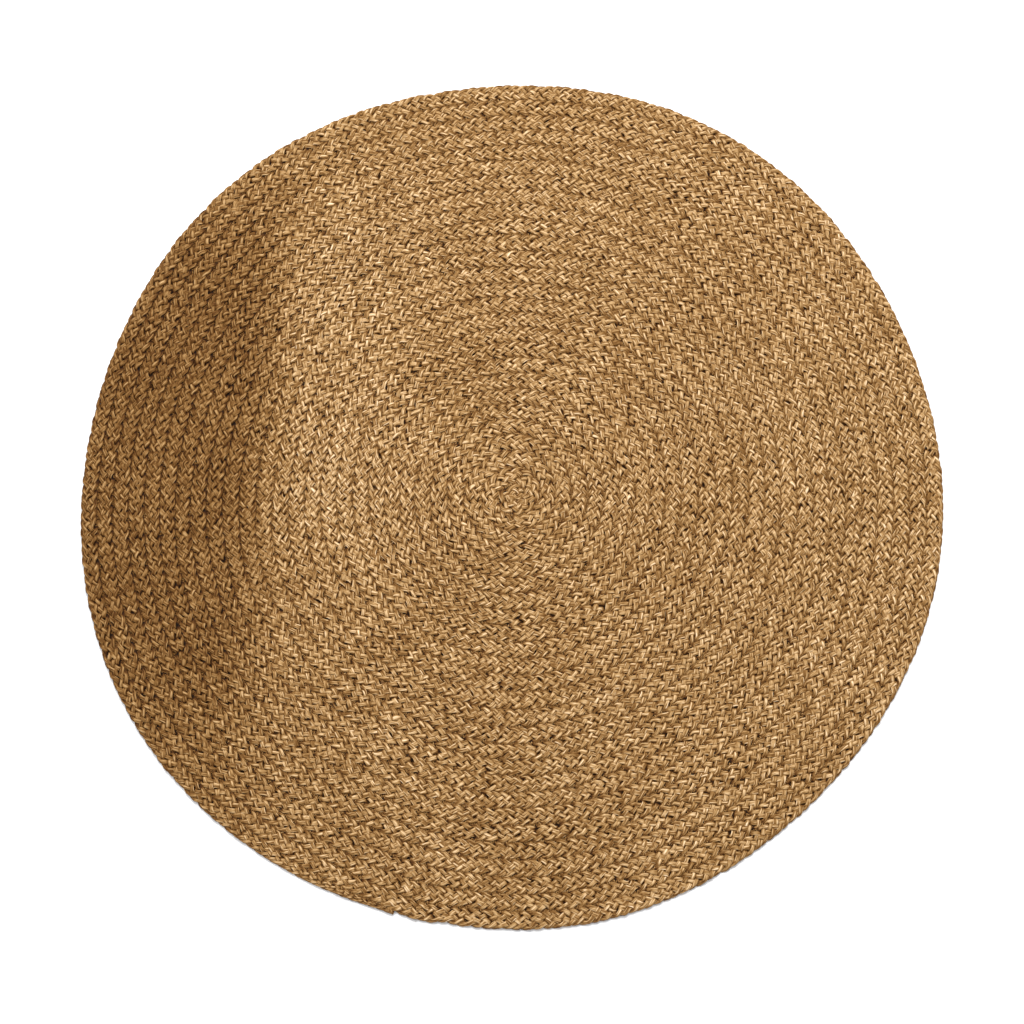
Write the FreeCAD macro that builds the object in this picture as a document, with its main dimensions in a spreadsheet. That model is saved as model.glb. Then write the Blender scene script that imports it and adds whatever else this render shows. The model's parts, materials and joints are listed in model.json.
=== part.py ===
import FreeCAD, Part
import math
import os
import Sketcher

# A round area rug: one long five-strand braid, wound flat in a spiral and laced edge to edge.
# The spiral is drawn from half circles: every half turn has its own radius, half a pitch larger
# than the last, and the centres alternate between the rug's heart and a point half a pitch away.
# That keeps neighbouring turns exactly one pitch apart and every joint between arcs tangent.
# All lengths are in millimetres.

DIMENSIONS = {
    "full_turns": 25,          # whole turns between the centre and the outer turn
    "braid_pitch": 28.1,       # centre to centre of neighbouring turns
    "seam_gap": 1.0,           # room between turns, filled by the lacing thread
    "braid_thick": 10.0,       # two strands on top of each other
    "edge_round": 3.0,         # rounding of a braid's long edges
    "core_radius": 14.05,      # inner radius of the first turn, half a pitch
    "tail_sweep": 42.0,        # degrees of the outer turn over which the braid tapers
    "tail_tip": 9.0,           # width of the tapered end
    "tail_inset": 1.0,         # how much thinner the tail is, above and below
    "tail_round": 2.0,         # rounding of the tail's long edges
    "thread_low": 3.5,         # underside of the lacing thread, inside the thickness
    "thread_tall": 3.0,        # height that the zigzag lacing takes up
    "whip_count": 4,           # binding loops round the end of the tail
    "whip_width": 2.2,
    "whip_wall": 0.8,
    "whip_play": 0.1,          # room between a loop and what it goes round
    "whip_first": 0.5,         # degrees from the tail's end to the first loop
    "whip_step": 0.7,          # degrees between loops
    "whip_zone": 3.5,          # degrees left free of lacing for the loops
    "start_bearing": 254.0,    # direction of the braid's end, anticlockwise from +X
}

ORIGIN_POINT = (-1, 1)         # Sketcher's names for the sketch origin and the X axis
X_AXIS = -1
START, END, CENTRE = 1, 2, 3

doc = FreeCAD.newDocument("braided_round_rug")


def make_sheet():
    """Puts the driving dimensions in a spreadsheet, one aliased cell each."""
    sheet = doc.addObject("Spreadsheet::Sheet", "Dimensions")
    for row, (alias, value) in enumerate(DIMENSIONS.items(), start=1):
        sheet.set(f"A{row}", alias)
        sheet.set(f"B{row}", str(value))
        sheet.setAlias(f"B{row}", alias)
    doc.recompute()
    return sheet


sheet = make_sheet()
pitch = sheet.braid_pitch
gap = sheet.seam_gap
band = pitch - gap
full_turns = int(sheet.full_turns)
heart = FreeCAD.Vector(0, 0, 0)
second_centre = FreeCAD.Vector(pitch / 2, 0, 0)
up = FreeCAD.Vector(0, 0, 1)


def on_xy_plane(body, name, height_alias=None):
    """Starts a sketch on the body's own XY plane, raised by a cell of the sheet if one is named."""
    sketch = body.newObject("Sketcher::SketchObject", name)
    plane = next(f for f in body.Origin.OriginFeatures if f.Role == "XY_Plane")
    sketch.AttachmentSupport = [(plane, "")]
    sketch.MapMode = "FlatFace"
    if height_alias:
        sketch.setExpression("AttachmentOffset.Base.z", f"Dimensions.{height_alias}")
    return sketch


def add_arc(sketch, centre, radius, first, last):
    """Adds an arc between two angles in degrees and gives its number."""
    circle = Part.Circle(centre, up, radius)
    arc = Part.ArcOfCircle(circle, math.radians(first), math.radians(last))
    return sketch.addGeometry(arc, False)


def add_line(sketch, start, end):
    """Adds a straight line and gives its number."""
    return sketch.addGeometry(Part.LineSegment(start, end), False)


def polar(centre, radius, degrees):
    """The point at a radius and bearing from a centre."""
    turn = math.radians(degrees)
    return centre + FreeCAD.Vector(radius * math.cos(turn), radius * math.sin(turn), 0)


def bind(sketch, constraint, name, expression):
    """Adds a dimension to a sketch and ties it to the sheet."""
    number = sketch.addConstraint(constraint)
    sketch.renameConstraint(number, name)
    sketch.setExpression(f"Constraints.{name}", expression)


def join(sketch, first, first_end, second, second_end):
    """Makes two points of a sketch coincide."""
    sketch.addConstraint(Sketcher.Constraint("Coincident", first, first_end, second, second_end))


def on_x_axis(sketch, item, end):
    """Keeps a point of a sketch on the X axis."""
    sketch.addConstraint(Sketcher.Constraint("PointOnObject", item, end, X_AXIS))


def fix_second_centre(sketch, arc):
    """Puts an arc's centre on the X axis, half a pitch from the heart."""
    on_x_axis(sketch, arc, CENTRE)
    step = Sketcher.Constraint("DistanceX", *ORIGIN_POINT, arc, CENTRE, pitch / 2)
    bind(sketch, step, "centre_step", "Dimensions.braid_pitch / 2")


def radial_line(sketch, arc, line, degrees_alias):
    """Aims a line at an arc's centre, at a bearing below the X axis."""
    sketch.addConstraint(Sketcher.Constraint("PointOnObject", arc, CENTRE, line))
    bearing = -math.radians(getattr(sheet, degrees_alias))
    aim = Sketcher.Constraint("Angle", line, bearing)
    bind(sketch, aim, "end_bearing", f"-Dimensions.{degrees_alias} * 1 deg")


def spiral_edge(sketch, radius, last_bearing):
    """Draws one edge of a turn, two half circles or less, and ties its joints together."""
    first_half = add_arc(sketch, heart, radius, 0, 180)
    second_half = add_arc(sketch, second_centre, radius + pitch / 2, 180, last_bearing)
    join(sketch, first_half, CENTRE, *ORIGIN_POINT)
    on_x_axis(sketch, first_half, START)
    on_x_axis(sketch, first_half, END)
    join(sketch, first_half, END, second_half, START)
    return first_half, second_half


def turn_outline(sketch, inner, inner_text, width, width_text, cut_alias=None):
    """Draws a turn of the spiral: a band of constant width, ended early if a cut is named."""
    cut = getattr(sheet, cut_alias) if cut_alias else 0
    inner_1, inner_2 = spiral_edge(sketch, inner, 360 - cut)
    outer_1, outer_2 = spiral_edge(sketch, inner + width, 360 - cut)
    fix_second_centre(sketch, inner_2)
    join(sketch, inner_2, CENTRE, outer_2, CENTRE)
    bind(sketch, Sketcher.Constraint("Radius", inner_1, inner), "inner_radius", inner_text)
    outer_text = f"{inner_text} + {width_text}"
    bind(sketch, Sketcher.Constraint("Radius", outer_1, inner + width), "outer_radius", outer_text)

    first_end = add_line(sketch, polar(heart, inner, 0), polar(heart, inner + width, 0))
    join(sketch, first_end, START, inner_1, START)
    join(sketch, first_end, END, outer_1, START)

    end_radius = inner + pitch / 2
    last_end = add_line(
        sketch,
        polar(second_centre, end_radius, -cut),
        polar(second_centre, end_radius + width, -cut),
    )
    join(sketch, last_end, START, inner_2, END)
    join(sketch, last_end, END, outer_2, END)
    if cut_alias:
        radial_line(sketch, inner_2, last_end, cut_alias)
    else:
        on_x_axis(sketch, inner_2, END)
        on_x_axis(sketch, outer_2, END)


def curl_outline(sketch):
    """Draws the braid's curled start, which fills the hole inside the first turn."""
    radius = sheet.core_radius - gap
    edge_1, edge_2 = spiral_edge(sketch, radius, 360)
    fix_second_centre(sketch, edge_2)
    radius_text = "Dimensions.core_radius - Dimensions.seam_gap"
    bind(sketch, Sketcher.Constraint("Radius", edge_1, radius), "curl_radius", radius_text)
    flat = add_line(sketch, polar(heart, radius, 0), polar(heart, radius + pitch, 0))
    join(sketch, flat, START, edge_1, START)
    join(sketch, flat, END, edge_2, END)
    on_x_axis(sketch, edge_2, END)


def tail_numbers():
    """The tail's inner radius, full outer radius, tip radius, and the taper arc's centre shift.

    The taper arc leaves the outer turn's edge tangentially and ends at the tip, so its centre
    lies on the radius to the point where the taper starts."""
    inner = sheet.core_radius + full_turns * pitch + pitch / 2
    outer = inner + band
    tip = inner + sheet.tail_tip
    slant = math.cos(math.radians(sheet.tail_sweep))
    shift = (outer ** 2 - tip ** 2) / (2 * (outer - tip * slant))
    return inner, outer, tip, shift


def tail_outline(sketch):
    """Draws the last stretch of the braid, which tapers to its tip."""
    inner, outer, tip, shift = tail_numbers()
    sweep = sheet.tail_sweep
    edge = add_arc(sketch, second_centre, inner, -sweep, 0)
    fix_second_centre(sketch, edge)
    inner_text = "Dimensions.core_radius + (Dimensions.full_turns + 0.5) * Dimensions.braid_pitch"
    bind(sketch, Sketcher.Constraint("Radius", edge, inner), "inner_radius", inner_text)
    on_x_axis(sketch, edge, END)

    wide_end = add_line(
        sketch,
        polar(second_centre, inner, -sweep),
        polar(second_centre, outer, -sweep),
    )
    join(sketch, wide_end, START, edge, START)
    radial_line(sketch, edge, wide_end, "tail_sweep")
    width_text = "Dimensions.braid_pitch - Dimensions.seam_gap"
    bind(sketch, Sketcher.Constraint("Distance", wide_end, band), "wide_end", width_text)

    taper_centre = polar(second_centre, shift, -sweep)
    tip_point = polar(second_centre, tip, 0)
    reach = tip_point - taper_centre
    taper_end = math.degrees(math.atan2(reach.y, reach.x))
    taper = add_arc(sketch, taper_centre, outer - shift, -sweep, taper_end)
    sketch.addConstraint(Sketcher.Constraint("PointOnObject", taper, CENTRE, wide_end))
    join(sketch, taper, START, wide_end, END)

    tip_line = add_line(sketch, polar(second_centre, inner, 0), tip_point)
    join(sketch, tip_line, START, edge, END)
    join(sketch, tip_line, END, taper, END)
    on_x_axis(sketch, taper, END)
    tip_text = "Dimensions.tail_tip"
    bind(sketch, Sketcher.Constraint("Distance", tip_line, sheet.tail_tip), "tip_width", tip_text)


def long_edges(shape):
    """Names the curved edges that run along a braid, at its top and bottom."""
    names = []
    for number, edge in enumerate(shape.Edges, start=1):
        level = abs(edge.BoundBox.ZMax - edge.BoundBox.ZMin) < 0.01
        if level and isinstance(edge.Curve, Part.Circle):
            names.append(f"Edge{number}")
    return names


def pad_body(label, outline, height_text, raised_alias=None, round_alias=None):
    """Makes a body from one outline, padded up, with its long edges rounded if asked."""
    body = doc.addObject("PartDesign::Body", label)
    body.Label = label
    sketch = on_xy_plane(body, f"{label}_outline", raised_alias)
    outline(sketch)
    doc.recompute()
    pad = body.newObject("PartDesign::Pad", f"{label}_pad")
    pad.Profile = sketch
    pad.setExpression("Length", height_text)
    doc.recompute()
    if round_alias:
        fillet = body.newObject("PartDesign::Fillet", f"{label}_round")
        fillet.Base = (pad, long_edges(pad.Shape))
        fillet.setExpression("Radius", f"Dimensions.{round_alias}")
    return body


def make_braid():
    """Makes the curled start, the full turns, the outer turn and the tapered tail."""
    thick = "Dimensions.braid_thick"
    width_text = "Dimensions.braid_pitch - Dimensions.seam_gap"
    bodies = [pad_body("braid_center_start", curl_outline, thick, None, "edge_round")]
    for turn in range(full_turns + 1):
        last = turn == full_turns
        label = "braid_outer_turn" if last else f"braid_turn_{turn + 1:02d}"
        inner = sheet.core_radius + turn * pitch
        inner_text = f"Dimensions.core_radius + {turn} * Dimensions.braid_pitch"
        cut_alias = "tail_sweep" if last else None
        bodies.append(pad_body(
            label,
            lambda sketch: turn_outline(sketch, inner, inner_text, band, width_text, cut_alias),
            thick, None, "edge_round",
        ))
    tail_thick = "Dimensions.braid_thick - 2 * Dimensions.tail_inset"
    bodies.append(pad_body("braid_tail", tail_outline, tail_thick, "tail_inset", "tail_round"))
    return bodies


def make_lacing():
    """Makes the thread that laces each turn to the next, one length for each seam."""
    bodies = []
    for seam in range(full_turns + 1):
        inner = sheet.core_radius - gap + seam * pitch
        inner_text = f"Dimensions.core_radius - Dimensions.seam_gap + {seam} * Dimensions.braid_pitch"
        cut_alias = "whip_zone" if seam == full_turns else None
        bodies.append(pad_body(
            f"lacing_thread_{seam + 1:02d}",
            lambda sketch: turn_outline(
                sketch, inner, inner_text, gap, "Dimensions.seam_gap", cut_alias),
            "Dimensions.thread_tall", "thread_low",
        ))
    return bodies


def whipping_loop(degrees):
    """One flat loop of thread round the tail, at a bearing below the X axis."""
    inner, outer, tip, shift = tail_numbers()
    play = sheet.whip_play
    wall = sheet.whip_wall
    # the taper's outer edge as seen from the second centre, from its own centre and radius
    lean = math.radians(sheet.tail_sweep - degrees)
    taper_radius = outer - shift
    reach = shift * math.cos(lean) + math.sqrt(taper_radius ** 2 - (shift * math.sin(lean)) ** 2)
    hole = FreeCAD.Vector(reach - inner + 2 * play, sheet.whip_width, 0)
    floor = sheet.tail_inset - wall - play
    tall = sheet.braid_thick - 2 * floor
    ring = Part.makeBox(hole.x + 2 * wall, hole.y, tall, FreeCAD.Vector(inner - play - wall, 0, floor))
    inside = FreeCAD.Vector(inner - play, 0, floor + wall)
    ring = ring.cut(Part.makeBox(hole.x, hole.y, tall - 2 * wall, inside))
    ring.translate(FreeCAD.Vector(0, -hole.y / 2, 0))
    ring.rotate(heart, up, -degrees)
    ring.translate(second_centre)
    return ring


def make_whipping():
    """Makes the loops that bind the tail's tip, as one node of separate solids."""
    whipping = doc.addObject("Part::Feature", "end_whipping")
    whipping.Label = "end_whipping"
    bearings = [sheet.whip_first + n * sheet.whip_step for n in range(int(sheet.whip_count))]
    whipping.Shape = Part.Compound([whipping_loop(bearing) for bearing in bearings])
    return whipping


def place_all(parts):
    """Turns the rug to its bearing and puts the middle of its underside at the origin."""
    turned = FreeCAD.Placement(heart, FreeCAD.Rotation(up, sheet.start_bearing))
    for part in parts:
        part.Placement = turned
    doc.recompute()
    box = Part.Compound([part.Shape for part in parts]).optimalBoundingBox(False)
    middle = FreeCAD.Vector(box.Center.x, box.Center.y, box.ZMin)
    for part in parts:
        part.Placement = FreeCAD.Placement(-middle, turned.Rotation)
    doc.recompute()
    print("size", round(box.XLength, 1), round(box.YLength, 1), round(box.ZLength, 1))
    print("heart of the spiral", round(-middle.x, 2), round(-middle.y, 2))


def check(parts):
    """Stops if any object failed or any sub-part has no valid shape."""
    for item in doc.Objects:
        bad = [state for state in item.State if state in ("Invalid", "Error")]
        if bad:
            raise RuntimeError(f"{item.Label}: {bad}")
    for part in parts:
        if part.Shape.isNull() or not part.Shape.isValid():
            raise RuntimeError(f"{part.Label}: no valid shape")


def export(parts):
    """Writes one STEP file for each sub-part, named after its node."""
    os.makedirs("parts", exist_ok=True)
    for part in parts:
        part.Shape.exportStep(f"parts/{part.Label}.step")
        print(part.Label, len(part.Shape.Solids), round(part.Shape.Volume))


rug_parts = make_braid() + make_lacing() + [make_whipping()]
doc.recompute()
place_all(rug_parts)
check(rug_parts)
export(rug_parts)
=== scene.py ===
import json
import math

import bpy
import numpy as np
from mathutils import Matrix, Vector


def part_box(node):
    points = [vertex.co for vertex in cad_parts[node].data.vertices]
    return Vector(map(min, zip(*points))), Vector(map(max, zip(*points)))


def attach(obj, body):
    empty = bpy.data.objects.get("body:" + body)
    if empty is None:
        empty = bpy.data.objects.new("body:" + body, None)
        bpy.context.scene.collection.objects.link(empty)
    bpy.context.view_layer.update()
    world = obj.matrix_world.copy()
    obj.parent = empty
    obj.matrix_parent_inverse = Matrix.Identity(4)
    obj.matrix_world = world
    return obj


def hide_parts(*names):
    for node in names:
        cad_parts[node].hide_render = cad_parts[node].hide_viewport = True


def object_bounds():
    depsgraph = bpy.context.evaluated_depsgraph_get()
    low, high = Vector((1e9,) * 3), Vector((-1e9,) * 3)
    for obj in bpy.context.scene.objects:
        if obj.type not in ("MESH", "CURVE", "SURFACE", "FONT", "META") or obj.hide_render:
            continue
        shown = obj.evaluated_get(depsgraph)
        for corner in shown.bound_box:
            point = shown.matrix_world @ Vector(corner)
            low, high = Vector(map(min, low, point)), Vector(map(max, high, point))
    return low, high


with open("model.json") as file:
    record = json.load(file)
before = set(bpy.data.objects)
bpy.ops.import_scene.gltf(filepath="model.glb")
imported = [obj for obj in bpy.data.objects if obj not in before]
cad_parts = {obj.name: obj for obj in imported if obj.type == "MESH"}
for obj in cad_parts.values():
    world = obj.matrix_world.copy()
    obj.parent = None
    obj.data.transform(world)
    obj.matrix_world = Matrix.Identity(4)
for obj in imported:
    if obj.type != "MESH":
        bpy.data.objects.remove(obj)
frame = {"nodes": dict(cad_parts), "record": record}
cad_low, cad_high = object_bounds()

# ---------------------------------------------------------------- sizes read from the frame, metres
NODES = frame["nodes"]
TURNS = sorted(name for name in NODES if name.startswith("braid_turn_"))
SEAMS = sorted(name for name in NODES if name.startswith("lacing_thread_"))


def across(node):
    """A node's size along X."""
    low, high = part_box(node)
    return high[0] - low[0]


PITCH = (across(TURNS[-1]) - across(TURNS[0])) / (2 * (len(TURNS) - 1))
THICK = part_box(TURNS[0])[1][2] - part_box(TURNS[0])[0][2]
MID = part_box(TURNS[0])[0][2] + THICK / 2
HEART = np.array(frame["record"]["mounts"][0]["pos_m"][:2])   # where the spiral starts
RIM = (cad_high[0] - cad_low[0]) / 2
START_BEARING = math.radians(254)   # the bearing at which the first half turn starts
GAP = 0.001                # room between turns
BAND = PITCH - GAP
CORE = PITCH / 2
CLEAR = 0.0001             # room between the lowest strand and the floor
TAIL_SWEEP = math.radians(42)
TAIL_TIP = 0.0045          # the tail's end is drawn in tight by its whipping
TIP_LENGTH = 0.012         # the rounded end of the braid's start
WHIP_LENGTH = 0.013        # the stretch of the tail that is bound with thread

# ---------------------------------------------------------------- the braid
STRANDS = 5
PERIOD = 0.0806            # length of one full zigzag of a strand
STEPS = 40                 # rings in a period
SIDES = 9                  # points round a strand
PLIES = 3                  # ridges of fibre round a strand
PLY_DEPTH = 0.11           # height of those ridges, as a share of the strand's half size
SWING = 0.0129             # how far a strand's line moves to each side of the braid's
ROUNDNESS = 0.997          # 1 turns a strand sharply at the braid's edges
STRAIGHT_FROM = 0.86       # share of the swing past which the braid's edge is pulled straight
STRAIGHTEN = 0.7           # how much of the swing past that share is taken off
RISE = 0.0025              # how far it moves up and down
TOP_WIDE = 0.0034          # half sizes of a strand where it shows on the face of the braid
TOP_TALL = 0.0024
# and where it is pressed flat under the others: wide enough that no floor shows through the plait, so
# that neighbouring strands run into each other
UNDER_WIDE = 0.0060
UNDER_TALL = 0.0021
EDGE_WIDE = 0.0031         # and where it turns round the edge
EDGE_TALL = 0.0023
SPREAD = 1.12              # how much wider a strand is at its middle than its half size
FOOT = 0.15                # how much wider still at its foot, and narrower at its top
FLATNESS = 0.72            # below 1 squares off a strand's round section
PLY_SHADE = 0.42            # painted shade: how much darker the jute is painted in the folds between the plies of a strand
TWIST = 2 * math.pi / 0.05          # turn of the plies per metre of braid, times their number
SEAM_SHADE = 0.14           # painted shade: how much darker the jute is painted in the grooves between the turns
SEAM_FROM = 0.0090         # distances from the braid's line over which that painted groove shade sets in
SEAM_TO = 0.0145
RIM_FROM = 0.006           # and over which the painted depth shade is lifted from the outermost turn's bare edge
RIM_TO = 0.012
RIM_SHOWN = 0.7            # how far that edge is lifted out of the painted depth shade
DARK_DEPTH = 0.12          # share of a strand's greatest height at which the painted depth shade is darkest
LIGHT_DEPTH = 0.68         # and at which none is painted
# spread of the random unevenness of a strand: angle, sideways, up, width, slow width, tone, painted groove
# shade
ANGLE_SPREAD = 0.13
SIDE_SPREAD = 0.0006
UP_SPREAD = 0.00045
WIDE_SPREAD = 0.12
SLOW_SPREAD = 0.07
TONE_SPREAD = 0.05
GROOVE_SHADE_SPREAD = 0.4
FIBRE_GROUPS = 6           # pieces of loose fibre, and fibres in each
FIBRES_IN_GROUP = 400
# a strand's height at its crossings from one edge of the braid to the other and back: over, under ...
CROSSINGS = np.array(2 * [0, *(1 if crossing % 2 else -1 for crossing in range(1, STRANDS))] + [0])
RNG = np.random.default_rng(11)

SECOND_CENTRE = HEART + PITCH / 2 * np.array([math.cos(START_BEARING), math.sin(START_BEARING)])
HALF_TURNS = 2 * (len(TURNS) + 1)
HALF_RADII = CORE + BAND / 2 + np.arange(-1, HALF_TURNS) * PITCH / 2
HALF_STARTS = np.concatenate([[0], np.cumsum(math.pi * HALF_RADII)]) - math.pi * HALF_RADII[0]
BRAID_START = HALF_STARTS[0] - TIP_LENGTH
BRAID_END = HALF_STARTS[-1]
TAIL_START = BRAID_END - HALF_RADII[-1] * TAIL_SWEEP
LENGTH = BRAID_END - BRAID_START


def turn_start(turn):
    """Where turn number 0, 1, 2 ... starts, along the braid."""
    return HALF_STARTS[1 + 2 * turn]


def spiral(run):
    """The braid's centreline: points and outward directions at distances along it."""
    half = np.clip(np.searchsorted(HALF_STARTS, run, side="right") - 1, 0, len(HALF_RADII) - 1)
    radius = HALF_RADII[half]
    straight = np.minimum(run - HALF_STARTS[0], 0)
    past = np.maximum(run, HALF_STARTS[0]) - HALF_STARTS[half]
    angle = START_BEARING + (half - 1) * math.pi + past / radius
    centre = np.where((half % 2 == 1)[:, None], HEART, SECOND_CENTRE)
    outward = np.stack([np.cos(angle), np.sin(angle)], axis=1)
    along = np.stack([-np.sin(angle), np.cos(angle)], axis=1)
    return centre + radius[:, None] * outward + straight[:, None] * along, outward


class Waver:
    """Smooth random variation along a line: random values joined by a cubic ease."""

    def __init__(self, step, length, rng):
        self.step = step
        self.values = rng.normal(size=int(length / step) + 8)

    def __call__(self, run):
        place = run / self.step + 3
        index = np.floor(place).astype(int)
        part = place - index
        part = part * part * (3 - 2 * part)
        index = np.clip(index, 0, len(self.values) - 2)
        return self.values[index] * (1 - part) + self.values[index + 1] * part


def ease(low, high, value):
    """0 below low, 1 above high and a smooth step between."""
    part = np.clip((value - low) / (high - low), 0, 1)
    return part * part * (3 - 2 * part)


# ---------------------------------------------------------------- how the rug lies
FOLD_X = -0.425            # the crease left by storing the rug folded: its place and its lean
FOLD_LEAN = 0.07
FLAP_ROLL = math.radians(6)
RIDGE_ROLL = math.radians(5)
RIDGE = 0.0026
FLAP_SHADE = 0.37           # painted shade: how much darker the flap left of the crease is painted


def across_fold(x, y):
    """Distance to the right of the crease."""
    return x - FOLD_X - FOLD_LEAN * (np.maximum(y, -0.1) - 0.1)


def flap(x, y):
    """1 on the flap to the left of the crease and 0 to its right, weaker at the rug's near and far sides."""
    softer = 1 + 0.8 * ease(-0.1, -0.35, y)
    fading = (0.56 + 0.44 * ease(-0.60, -0.25, y)) * (1 - 0.75 * ease(0.40, 0.64, y))
    return ease(0.050, -0.055, across_fold(x, y) / softer) * fading


def beside_crease(x, y):
    """1 on the band just to the right of the crease."""
    side = across_fold(x, y)
    near_side = ease(-0.25, 0.05, y)
    far_side = 1 - 0.8 * ease(0.38, 0.62, y)
    return ease(0.0, 0.10, side) * ease(0.34, 0.14, side) * near_side * far_side


def roll(x, y):
    """How far the braid is rolled about its own line by the crease: positive lifts its outer edge."""
    on_left = np.clip(-x / 0.3, 0, 1)
    return (RIDGE_ROLL * beside_crease(x, y) - FLAP_ROLL * flap(x, y)) * on_left


def lift(x, y):
    """Height of the rug's mid-surface over its place in the frame."""
    side = across_fold(x, y)
    ridge = RIDGE * np.where(side < 0, ease(-0.30, 0.0, side), ease(0.26, 0.0, side)) * ease(-0.6, -0.2, y)
    waves = 0.0005 * (1 + np.sin(9 * x + 4 * y + 1) * np.cos(7 * y - 2 * x))
    return ridge + waves


def warp(points):
    """Moves points of the flat rug to where they lie: the coil and its turns are a little uneven."""
    x, y, z = points.T
    reach = np.hypot(x, y) / RIM
    bearing = np.arctan2(y, x)
    push = 0.0017 * np.cos(bearing - 2.36) + 0.0042 * np.cos(2 * bearing - 2.83)
    push = push + 0.0013 * np.cos(3 * bearing - 1.7) + 0.0041 * np.cos(5 * bearing + 1.08)
    past_tail = (bearing - (START_BEARING - 2 * math.pi) - 0.06) / 0.06
    push = push * reach ** 2 + 0.007 * np.exp(-past_tail ** 2) * ease(0.85, 1.0, reach)
    sway_x = 0.0022 * np.sin(15 * x + 11 * y + 0.7) + 0.0013 * np.sin(31 * x - 22 * y + 2.1) - 0.004
    sway_y = 0.0022 * np.sin(12 * x - 16 * y + 3.9) + 0.0013 * np.sin(25 * x + 30 * y + 5.0)
    inside = np.clip(1.6 * (1 - reach ** 2), 0, 1)
    new_x = x + push * np.cos(bearing) + sway_x * inside
    new_y = y + push * np.sin(bearing) + sway_y * inside
    return np.stack([new_x, new_y, z + lift(x, y)], axis=1)


def seam_shade_strength(x, y):
    """How strong the painted shade in the grooves between the turns is: most on the near side, least on the
    rolled flap.
    """
    return (1 - (0.45 * y + 0.15 * x) / RIM) * (1 - 0.8 * flap(x, y))


def tone_and_painted_fold_shade(points):
    """Slow changes of tone over the rug, a little lighter towards the right, with painted shade on the flap
    left of the crease and a painted highlight on the band beside it.
    """
    x, y, _ = points.T
    mottle = 0.03 * np.sin(8 * x - 5 * y + 1) * np.sin(6 * x + 9 * y)
    mottle = mottle + 0.03 * np.sin(21 * x + 3) * np.sin(19 * y + 1)
    # the flap's darkness is painted shade, and the band beside the crease is a painted highlight
    return 1 + mottle + 0.06 * x / RIM - FLAP_SHADE * flap(x, y) + 0.17 * beside_crease(x, y)


# ---------------------------------------------------------------- strands
PACE = Waver(0.30, LENGTH + 1, RNG)
PACE_RUN = np.arange(BRAID_START - 0.05, BRAID_END + 0.1, 0.01)
PACE_SUM = np.cumsum(0.01 * (1 + 0.07 * PACE(PACE_RUN - BRAID_START)) / PERIOD)


def braid_width(run):
    """Width of the braid as a share of the full width, from its rounded start to its tapered end."""
    taper_length = BRAID_END - TAIL_START
    taper = np.clip((run - TAIL_START) / taper_length, 0, 1)
    tip = np.clip((HALF_STARTS[0] - run) / (TIP_LENGTH * 1.05), 0, 1)
    share = 1 - (1 - TAIL_TIP / BAND) * taper ** 2
    return share * np.sqrt(1 - tip ** 2)


def squared(wave):
    """A sine or cosine with fuller sides, which turns a round section into a flatter, squarer one."""
    return np.sign(wave) * np.abs(wave) ** FLATNESS


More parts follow.
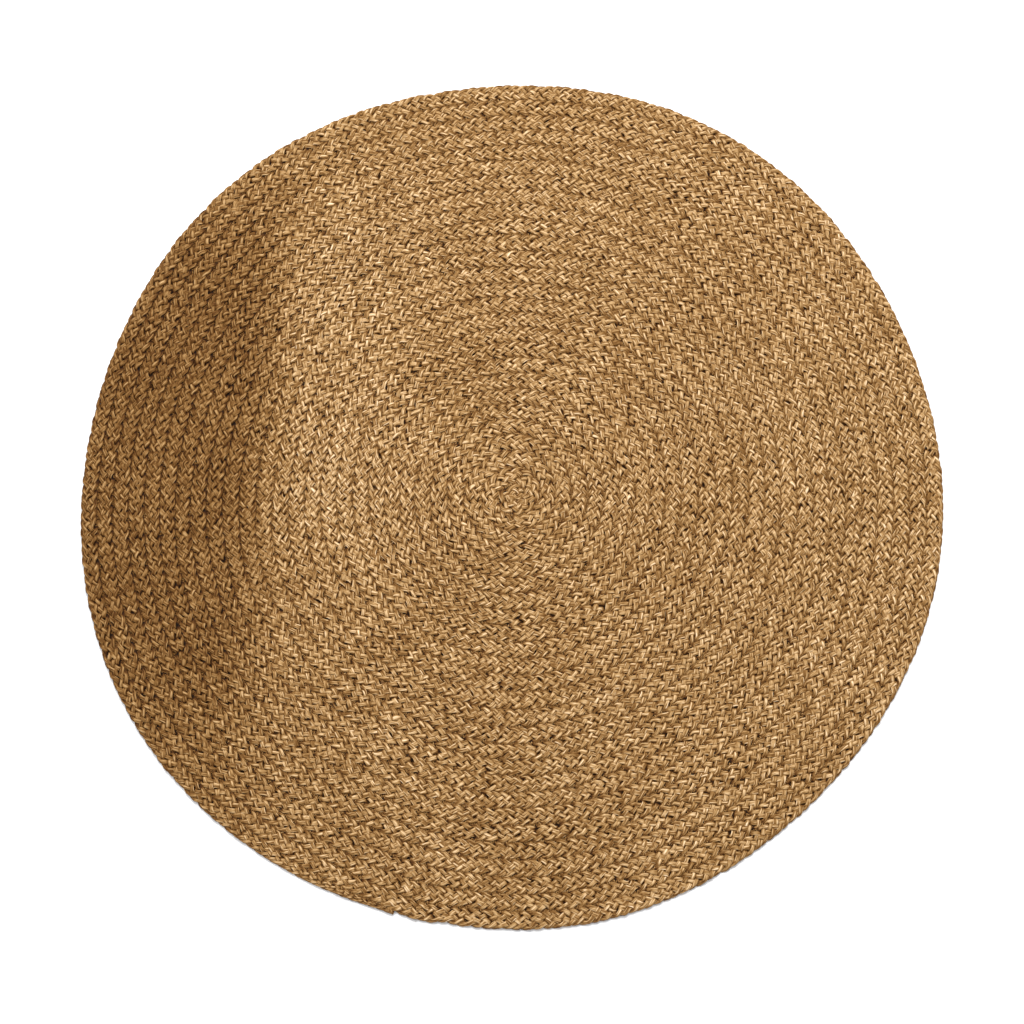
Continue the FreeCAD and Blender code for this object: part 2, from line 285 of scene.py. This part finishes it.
class Strand:
    """One strand of the whole braid, with its own unevenness."""

    def __init__(self, number):
        self.number = number
        self.phase = 2 * math.pi * number / STRANDS
        rng = np.random.default_rng(100 + number)
        self.wide = Waver(0.011, LENGTH + 1, rng)
        self.slow = Waver(0.12, LENGTH + 1, rng)
        self.tall = Waver(0.011, LENGTH + 1, rng)
        self.side = Waver(0.013, LENGTH + 1, rng)
        self.shift = Waver(0.020, LENGTH + 1, rng)
        self.tone = Waver(0.010, LENGTH + 1, rng)
        self.groove = Waver(0.022, LENGTH + 1, rng)

    def line(self, run):
        """The strand's line, its height and nearness to the edge, and the braid's width, tilt and place."""
        along = run - BRAID_START
        angle = 2 * math.pi * np.interp(run, PACE_RUN, PACE_SUM) + self.phase
        angle = angle + ANGLE_SPREAD * self.shift(along)
        width = braid_width(run)
        swing = np.arcsin(ROUNDNESS * np.sin(angle)) / math.asin(ROUNDNESS)
        swing = swing - STRAIGHTEN * np.sign(swing) * np.maximum(np.abs(swing) - STRAIGHT_FROM, 0)
        place = (angle / (2 * math.pi) + 0.25) % 1 * 2 * STRANDS
        before = np.minimum(place.astype(int), 2 * STRANDS - 1)
        part = ease(0, 1, place - before)
        height = CROSSINGS[before] * (1 - part) + CROSSINGS[before + 1] * part
        edge = np.clip(1 - np.abs((place + STRANDS / 2) % STRANDS - STRANDS / 2), 0, 1)
        centre, outward = spiral(run)
        inset = np.where(run > 0, -(1 - width) * BAND / 2, 0)
        side = swing * SWING * width + SIDE_SPREAD * self.side(along) * width + inset
        up = height * RISE * np.sqrt(np.maximum(width, 0.1)) + UP_SPREAD * self.tall(along)
        tilt = roll(centre[:, 0], centre[:, 1])
        flat = side * np.cos(tilt) - up * np.sin(tilt)
        level = side * np.sin(tilt) + up * np.cos(tilt) + np.abs(np.sin(tilt)) * BAND / 2
        spot = centre + flat[:, None] * outward
        return np.column_stack([spot, MID + level]), height, edge, width, tilt, centre, outward

    def mesh(self, first, last):
        """Points, fibre coordinates and shades between two places along the braid.

        A shade is the tone, with its painted shade and highlight, then how far the point is out of the
        plait's depth, which sets painted shade. The third value is spare.
        """
        rings = max(6, round((last - first) / PERIOD * STEPS)) + 1
        run = np.linspace(first, last, rings)
        step = 0.0004
        line, height, edge, width, tilt, centre, outward = self.line(run)
        ahead = self.line(run + step)[0] - self.line(run - step)[0]
        ahead /= np.linalg.norm(ahead, axis=1)[:, None]
        up = np.column_stack([-outward * np.sin(tilt)[:, None], np.cos(tilt)])
        side = np.cross(up, ahead)
        side /= np.linalg.norm(side, axis=1)[:, None]
        top = np.cross(ahead, side)
        along = run - BRAID_START
        grow = np.clip(1 + WIDE_SPREAD * self.wide(along) + SLOW_SPREAD * self.slow(along), 0.6, 1.5)
        under = ease(0.7, -0.7, height)
        wide = TOP_WIDE * grow * (1 - under) + UNDER_WIDE * under
        wide = wide * (1 - edge) + EDGE_WIDE * edge
        tall = TOP_TALL * (1 - under) + UNDER_TALL * under
        tall = tall * (1 - edge) + EDGE_TALL * edge
        around = 2 * math.pi * np.arange(SIDES) / SIDES
        spin = np.repeat(around[None, :], rings, axis=0)
        lobes = 1 + PLY_DEPTH * np.cos(PLIES * spin + (TWIST * along)[:, None])
        shrink = np.sqrt(width)
        aside = (wide * shrink)[:, None] * squared(np.cos(spin)) * lobes * (SPREAD - FOOT * np.sin(spin))
        ring = line[:, None, :] + aside[..., None] * side[:, None, :]
        out = (tall * shrink)[:, None] * squared(np.sin(spin)) * lobes
        ring = ring + out[..., None] * top[:, None, :]
        depth = np.abs((height * RISE * shrink)[:, None] + out) / (RISE + TOP_TALL)
        ring[..., 2] = np.maximum(ring[..., 2], CLEAR)
        twisted = spin + (TWIST / PLIES * along)[:, None]
        fibre = np.stack([
            np.repeat(run[:, None], SIDES, axis=1) + 10 * self.number,
            TOP_WIDE * np.cos(twisted),
            TOP_WIDE * np.sin(twisted),
        ], axis=2)
        points = ring.reshape(-1, 3)
        beside = ((ring[..., :2] - centre[:, None, :]) * outward[:, None, :]).sum(axis=2)
        # painted shade in the grooves between the turns, strongest on the near side
        strength = seam_shade_strength(centre[:, 0], centre[:, 1]) * (1 + GROOVE_SHADE_SPREAD * self.groove(along))
        seam_shade = SEAM_SHADE * ease(SEAM_FROM, SEAM_TO, np.abs(beside)) * np.clip(strength, 0.2, 1.7)[:, None]
        # painted shade in the folds between the plies of the strand
        ply_fold_shade = 0.5 - 0.5 * np.cos(PLIES * spin + (TWIST * along)[:, None])
        own_tone_and_seam_shade = 1 + TONE_SPREAD * self.tone(along)[:, None] - seam_shade
        tone = (own_tone_and_seam_shade * (1 - PLY_SHADE * ply_fold_shade)).ravel() * tone_and_painted_fold_shade(points)
        toward_rim = (beside + ((1 - width) * BAND / 2)[:, None]) / width[:, None].clip(0.1)
        rim = ease(HALF_STARTS[-3] - 0.2, HALF_STARTS[-3], run)[:, None] * ease(RIM_FROM, RIM_TO, toward_rim)
        # painted shade deep in the plait, lifted on the outermost turn's bare edge
        shown = np.maximum(ease(DARK_DEPTH, LIGHT_DEPTH, depth), RIM_SHOWN * rim)
        shade = np.stack([tone, shown.ravel(), 0 * tone], axis=1)
        return points, fibre.reshape(-1, 3), shade


def tube_quads(rings, sides):
    """The side faces of a tube of rings."""
    ring = np.arange(rings - 1)[:, None] * sides
    corner = np.arange(sides)[None, :]
    following = (corner + 1) % sides
    quads = [ring + corner, ring + following, ring + sides + following, ring + sides + corner]
    return np.stack(quads, axis=2).reshape(-1, 4)


def make_tubes(name, tubes, sides, material):
    """One piece from closed tubes, each given as its points, fibre coordinates and shades."""
    points, quads, caps, fibres, shades = [], [], [], [], []
    first = 0
    for tube_points, fibre, shade in tubes:
        count = len(tube_points)
        quads.append(tube_quads(count // sides, sides) + first)
        caps.append(np.arange(sides)[::-1] + first)
        caps.append(np.arange(count - sides, count) + first)
        points.append(tube_points)
        fibres.append(fibre)
        shades.append(shade)
        first += count
    sides_of = np.concatenate(quads)
    loops = np.concatenate([sides_of.ravel(), np.concatenate(caps)])
    sizes = np.concatenate([np.full(len(sides_of), 4), np.full(len(caps), sides)])
    mesh = bpy.data.meshes.new(name)
    mesh.vertices.add(first)
    mesh.vertices.foreach_set("co", np.concatenate(points).astype(np.float32).ravel())
    mesh.loops.add(len(loops))
    mesh.loops.foreach_set("vertex_index", loops.astype(np.int32))
    mesh.polygons.add(len(sizes))
    mesh.polygons.foreach_set("loop_start", (np.cumsum(sizes) - sizes).astype(np.int32))
    mesh.polygons.foreach_set("use_smooth", np.ones(len(sizes), bool))
    mesh.update(calc_edges=True)
    mesh.validate()
    layer = mesh.attributes.new("fibre", "FLOAT_VECTOR", "POINT")
    layer.data.foreach_set("vector", np.concatenate(fibres).astype(np.float32).ravel())
    layer = mesh.attributes.new("shade", "FLOAT_VECTOR", "POINT")
    layer.data.foreach_set("vector", np.concatenate(shades).astype(np.float32).ravel())
    mesh.materials.append(material)
    piece = bpy.data.objects.new(name, mesh)
    bpy.context.scene.collection.objects.link(piece)
    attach(piece, "root")
    return piece


def thin_tube(line, radius, sides, seed):
    """A round tube along a line of points, with radii that may differ from point to point."""
    ahead = np.gradient(line, axis=0)
    ahead /= np.linalg.norm(ahead, axis=1)[:, None]
    side = np.cross(ahead, [0, 0, 1])
    side /= np.maximum(np.linalg.norm(side, axis=1), 1e-9)[:, None]
    top = np.cross(side, ahead)
    spin = 2 * math.pi * np.arange(sides) / sides
    radius = np.broadcast_to(radius, len(line))[:, None, None]
    ring = line[:, None, :] + radius * (np.cos(spin)[None, :, None] * side[:, None, :]
                                        - np.sin(spin)[None, :, None] * top[:, None, :])
    run = np.concatenate([[0], np.cumsum(np.linalg.norm(np.diff(line, axis=0), axis=1))]) + seed
    twisted = spin[None, :] + 900 * run[:, None]
    fibre = np.stack([
        np.repeat(run[:, None], sides, axis=1),
        0.001 * np.cos(twisted),
        0.001 * np.sin(twisted),
    ], axis=2)
    points = ring.reshape(-1, 3)
    tone = tone_and_painted_fold_shade(points)
    return points, fibre.reshape(-1, 3), np.stack([tone, 1 + 0 * tone, 0 * tone], axis=1)


# ---------------------------------------------------------------- materials
def link(tree, start, end):
    tree.links.new(start, end)


def scaled(tree, vector, factors):
    """A vector times three factors."""
    node = tree.nodes.new("ShaderNodeVectorMath")
    node.operation = "MULTIPLY"
    node.inputs[1].default_value = factors
    link(tree, vector, node.inputs[0])
    return node.outputs[0]


def noise(tree, vector, detail, roughness):
    node = tree.nodes.new("ShaderNodeTexNoise")
    node.inputs["Scale"].default_value = 1.0
    node.inputs["Detail"].default_value = detail
    node.inputs["Roughness"].default_value = roughness
    link(tree, vector, node.inputs["Vector"])
    return node.outputs["Fac"]


def mapped(tree, value, low, high, spread):
    """Noise that keeps mostly within this spread of 0.5, mapped to between two values."""
    node = tree.nodes.new("ShaderNodeMapRange")
    node.inputs["From Min"].default_value = 0.5 - spread
    node.inputs["From Max"].default_value = 0.5 + spread
    node.inputs["To Min"].default_value = low
    node.inputs["To Max"].default_value = high
    link(tree, value, node.inputs["Value"])
    return node.outputs["Result"]


def product(tree, first, second):
    node = tree.nodes.new("ShaderNodeMath")
    node.operation = "MULTIPLY"
    link(tree, first, node.inputs[0])
    link(tree, second, node.inputs[1])
    return node.outputs[0]


def jute_colour(tone):
    """The colour of jute that sends back this share of red light: dark jute is browner, light jute paler."""
    return tone, 0.60 * tone * (tone / 0.42) ** 0.3, 0.25 * tone * (tone / 0.42) ** 0.9, 1


def jute(name, tone, deep_shade):
    """Jute: fibre streaks along the strand, uneven tone from length to length, painted shade deep in the
    braid.
    """
    material = bpy.data.materials.new(name)
    material.use_nodes = True
    tree = material.node_tree
    shader = tree.nodes["Principled BSDF"]
    shader.inputs["Roughness"].default_value = 0.75
    shader.inputs["Specular IOR Level"].default_value = 0.12

    coords = tree.nodes.new("ShaderNodeAttribute")
    coords.attribute_name = "fibre"
    shade = tree.nodes.new("ShaderNodeAttribute")
    shade.attribute_name = "shade"
    parts = tree.nodes.new("ShaderNodeSeparateXYZ")
    link(tree, shade.outputs["Vector"], parts.inputs[0])
    streaks = noise(tree, scaled(tree, coords.outputs["Vector"], (60, 900, 900)), 2.0, 0.6)
    bundles = noise(tree, scaled(tree, coords.outputs["Vector"], (110, 560, 560)), 1.0, 0.5)
    patches = noise(tree, scaled(tree, coords.outputs["Vector"], (60, 60, 60)), 4.0, 0.6)

    result = product(tree, mapped(tree, patches, 0.93 * tone, 1.07 * tone, 0.2), parts.outputs["X"])
    result = product(tree, result, mapped(tree, bundles, 0.42, 1.32, 0.12))
    result = product(tree, result, mapped(tree, streaks, 0.6, 1.22, 0.12))
    # painted shade deep in the plait
    depth = tree.nodes.new("ShaderNodeMapRange")
    depth.inputs["To Min"].default_value = deep_shade
    link(tree, parts.outputs["Y"], depth.inputs["Value"])
    result = product(tree, result, depth.outputs["Result"])

    ramp = tree.nodes.new("ShaderNodeValToRGB").color_ramp
    ramp.elements[0].color = jute_colour(0)
    ramp.elements[1].color = jute_colour(1)
    for stop in (0.05, 0.1, 0.2, 0.35, 0.5, 0.7):
        ramp.elements.new(stop).color = jute_colour(stop)
    link(tree, result, tree.nodes["Color Ramp"].inputs["Fac"])
    link(tree, tree.nodes["Color Ramp"].outputs["Color"], shader.inputs["Base Color"])

    bump = tree.nodes.new("ShaderNodeBump")
    bump.inputs["Strength"].default_value = 1.0
    bump.inputs["Distance"].default_value = 0.0008
    link(tree, bundles, bump.inputs["Height"])
    link(tree, bump.outputs["Normal"], shader.inputs["Normal"])
    return material


STRAND_JUTE = jute("jute_strands", 0.55, 0.03)
THREAD_JUTE = jute("jute_thread", 0.26, 1)
FIBRE_JUTE = jute("jute_fibres", 0.55, 1)


# ---------------------------------------------------------------- pieces
def make_turn(node, first, last):
    """The strands of one stretch of the braid, standing for one CAD node."""
    for strand in STRAND_SET:
        points, fibre, shade = strand.mesh(first, last)
        name = f"{node}_strand_{'abcde'[strand.number]}"
        piece = make_tubes(name, [(warp(points), fibre, shade)], SIDES, STRAND_JUTE)
        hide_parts(node)


def make_lacing(node, first, last, rng):
    """The thread that zigzags between two turns and draws them together."""
    stitch = 0.0062
    reach = 0.0034
    sway = 0.0011
    radius = 0.0013        # thicker than the gap between turns, so that no floor shows there
    sides = 6
    run = np.arange(first, last, stitch / 6)
    turns = (run - first) / stitch + 0.12 * Waver(0.03, last - first + 1, rng)(run - first)
    centre, outward = spiral(run)
    swing = reach * np.sin(2 * math.pi * turns)
    side = swing - (BAND + GAP) / 2
    tilt = roll(centre[:, 0], centre[:, 1])
    level = MID + sway * np.cos(4 * math.pi * turns)
    line = np.column_stack([centre + side[:, None] * outward, level + np.abs(np.sin(tilt)) * BAND / 2])
    piece = make_tubes(f"{node}_stitches", [thin_tube(warp(line), radius, sides, first)], sides, THREAD_JUTE)
    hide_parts(node)


def make_whipping():
    """The thread wound round the tail's tip."""
    loops = 8
    thread = 0.0008
    steps = 20 * loops
    turns = np.linspace(0, loops, steps + 1)
    run = BRAID_END - WHIP_LENGTH + turns / loops * (WHIP_LENGTH - 2 * thread)
    centre, outward = spiral(run)
    width = braid_width(run)
    inset = -(1 - width) * BAND / 2
    half_wide = width * (SWING + TOP_WIDE) + thread
    half_tall = THICK / 2 * np.sqrt(width) + thread
    angle = 2 * math.pi * turns
    side = inset + half_wide * np.cos(angle)
    level = np.maximum(MID + half_tall * np.sin(angle), thread + CLEAR)
    line = np.column_stack([centre + side[:, None] * outward, level])
    piece = make_tubes("end_whipping_loops", [thin_tube(warp(line), thread, 8, 0)], 8, THREAD_JUTE)
    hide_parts("end_whipping")


def make_fibres(name, count, nearest, farthest, rng):
    """Loose ends of fibre that stand a little out of the braid."""
    tubes = []
    sides = 3
    for number in range(count):
        run = rng.uniform(nearest, farthest)
        centre, outward = spiral(np.array([run]))
        along = np.array([-outward[0, 1], outward[0, 0]])
        heading = rng.normal(0, 0.5) + rng.choice([-0.5, 0.5])
        ahead = along * math.cos(heading) + outward[0] * math.sin(heading)
        aside = np.array([-ahead[1], ahead[0]])
        reach = rng.uniform(0.006, 0.020)
        part = np.linspace(-0.5, 0.5, 6)
        bow = rng.normal(0, 0.16) * reach
        start = centre[0] + outward[0] * rng.uniform(-0.5, 0.5) * BAND
        flat = start + part[:, None] * reach * ahead + ((0.25 - part ** 2) * 4 * bow)[:, None] * aside
        arch = rng.uniform(0.0002, 0.0022)
        rest = MID + 0.0042 + np.abs(np.sin(roll(centre[:, 0], centre[:, 1]))) * BAND / 2
        level = rest + arch * (1 - 4 * part ** 2) - 0.0010 * (1 - part)
        line = warp(np.column_stack([flat, level]))
        line[:, 2] = np.minimum(line[:, 2], 2 * THICK)
        radius = 0.00016 * (1 - 0.7 * np.abs(2 * part))
        tubes.append(thin_tube(line, radius, sides, number))
    piece = make_tubes(name, tubes, sides, FIBRE_JUTE)


STRAND_SET = [Strand(number) for number in range(STRANDS)]
make_turn("braid_center_start", BRAID_START, turn_start(0))
for index, node in enumerate(TURNS):
    make_turn(node, turn_start(index), turn_start(index + 1))
make_turn("braid_outer_turn", turn_start(len(TURNS)), TAIL_START)
make_turn("braid_tail", TAIL_START, BRAID_END)

LACING_END = BRAID_END - WHIP_LENGTH
for index, node in enumerate(SEAMS):
    last = min(turn_start(index + 1), LACING_END) if index + 1 < len(SEAMS) else LACING_END
    make_lacing(node, turn_start(index), last, RNG)
make_whipping()
ZONE = LENGTH / FIBRE_GROUPS
for part in range(FIBRE_GROUPS):
    nearest = BRAID_START + part * ZONE
    farthest = BRAID_START + (part + 1) * ZONE
    make_fibres(f"loose_fibres_{part + 1}", FIBRES_IN_GROUP, nearest, farthest, RNG)


# ---------------------------------------------------------------- floor, light and camera
def flat_material(name, colour, roughness):
    material = bpy.data.materials.new(name)
    material.use_nodes = True
    shader = material.node_tree.nodes["Principled BSDF"]
    shader.inputs["Base Color"].default_value = (*colour, 1)
    shader.inputs["Roughness"].default_value = roughness
    return material


def make_floor():
    bpy.ops.mesh.primitive_plane_add(size=30, location=(0, 0, -0.0005))
    floor = bpy.context.object
    floor.name = "floor"
    floor.data.materials.append(flat_material("floor_white", (0.9, 0.9, 0.91), 0.9))


def make_light(name, azimuth, elevation, distance, size, power):
    """A square soft light, aimed at the rug. Azimuth is measured anticlockwise from +X."""
    data = bpy.data.lights.new(name, "AREA")
    data.shape = "SQUARE"
    data.size = size
    data.energy = power
    lamp = bpy.data.objects.new(name, data)
    a = math.radians(azimuth)
    e = math.radians(elevation)
    spot = Vector((math.cos(a) * math.cos(e), math.sin(a) * math.cos(e), math.sin(e)))
    lamp.location = spot * distance
    lamp.rotation_mode = "QUATERNION"
    lamp.rotation_quaternion = spot.to_track_quat("Z", "Y")
    bpy.context.scene.collection.objects.link(lamp)


def make_world(strength):
    world = bpy.data.worlds.new("studio")
    world.use_nodes = True
    world.node_tree.nodes["Background"].inputs["Color"].default_value = (0.96, 0.98, 1, 1)
    world.node_tree.nodes["Background"].inputs["Strength"].default_value = strength
    bpy.context.scene.world = world


CAMERA_ELEVATION = math.radians(79)
CAMERA_DISTANCE = 4.047
CAMERA_LENS = 81.8
AIM = Vector((0, -0.038, MID))


def make_camera():
    data = bpy.data.cameras.new("camera")
    data.lens = CAMERA_LENS
    data.sensor_width = 36
    camera = bpy.data.objects.new("camera", data)
    back = Vector((0, -math.cos(CAMERA_ELEVATION), math.sin(CAMERA_ELEVATION)))
    camera.location = AIM + back * CAMERA_DISTANCE
    camera.rotation_mode = "QUATERNION"
    camera.rotation_quaternion = back.to_track_quat("Z", "Y")
    bpy.context.scene.collection.objects.link(camera)
    bpy.context.scene.camera = camera


make_floor()
make_light("key", 80, 63, 6.0, 2.8, 360)
make_light("fill", 150, 65, 6.0, 4.0, 120)
make_world(0.66)
make_camera()
bpy.context.scene.view_settings.view_transform = "Standard"
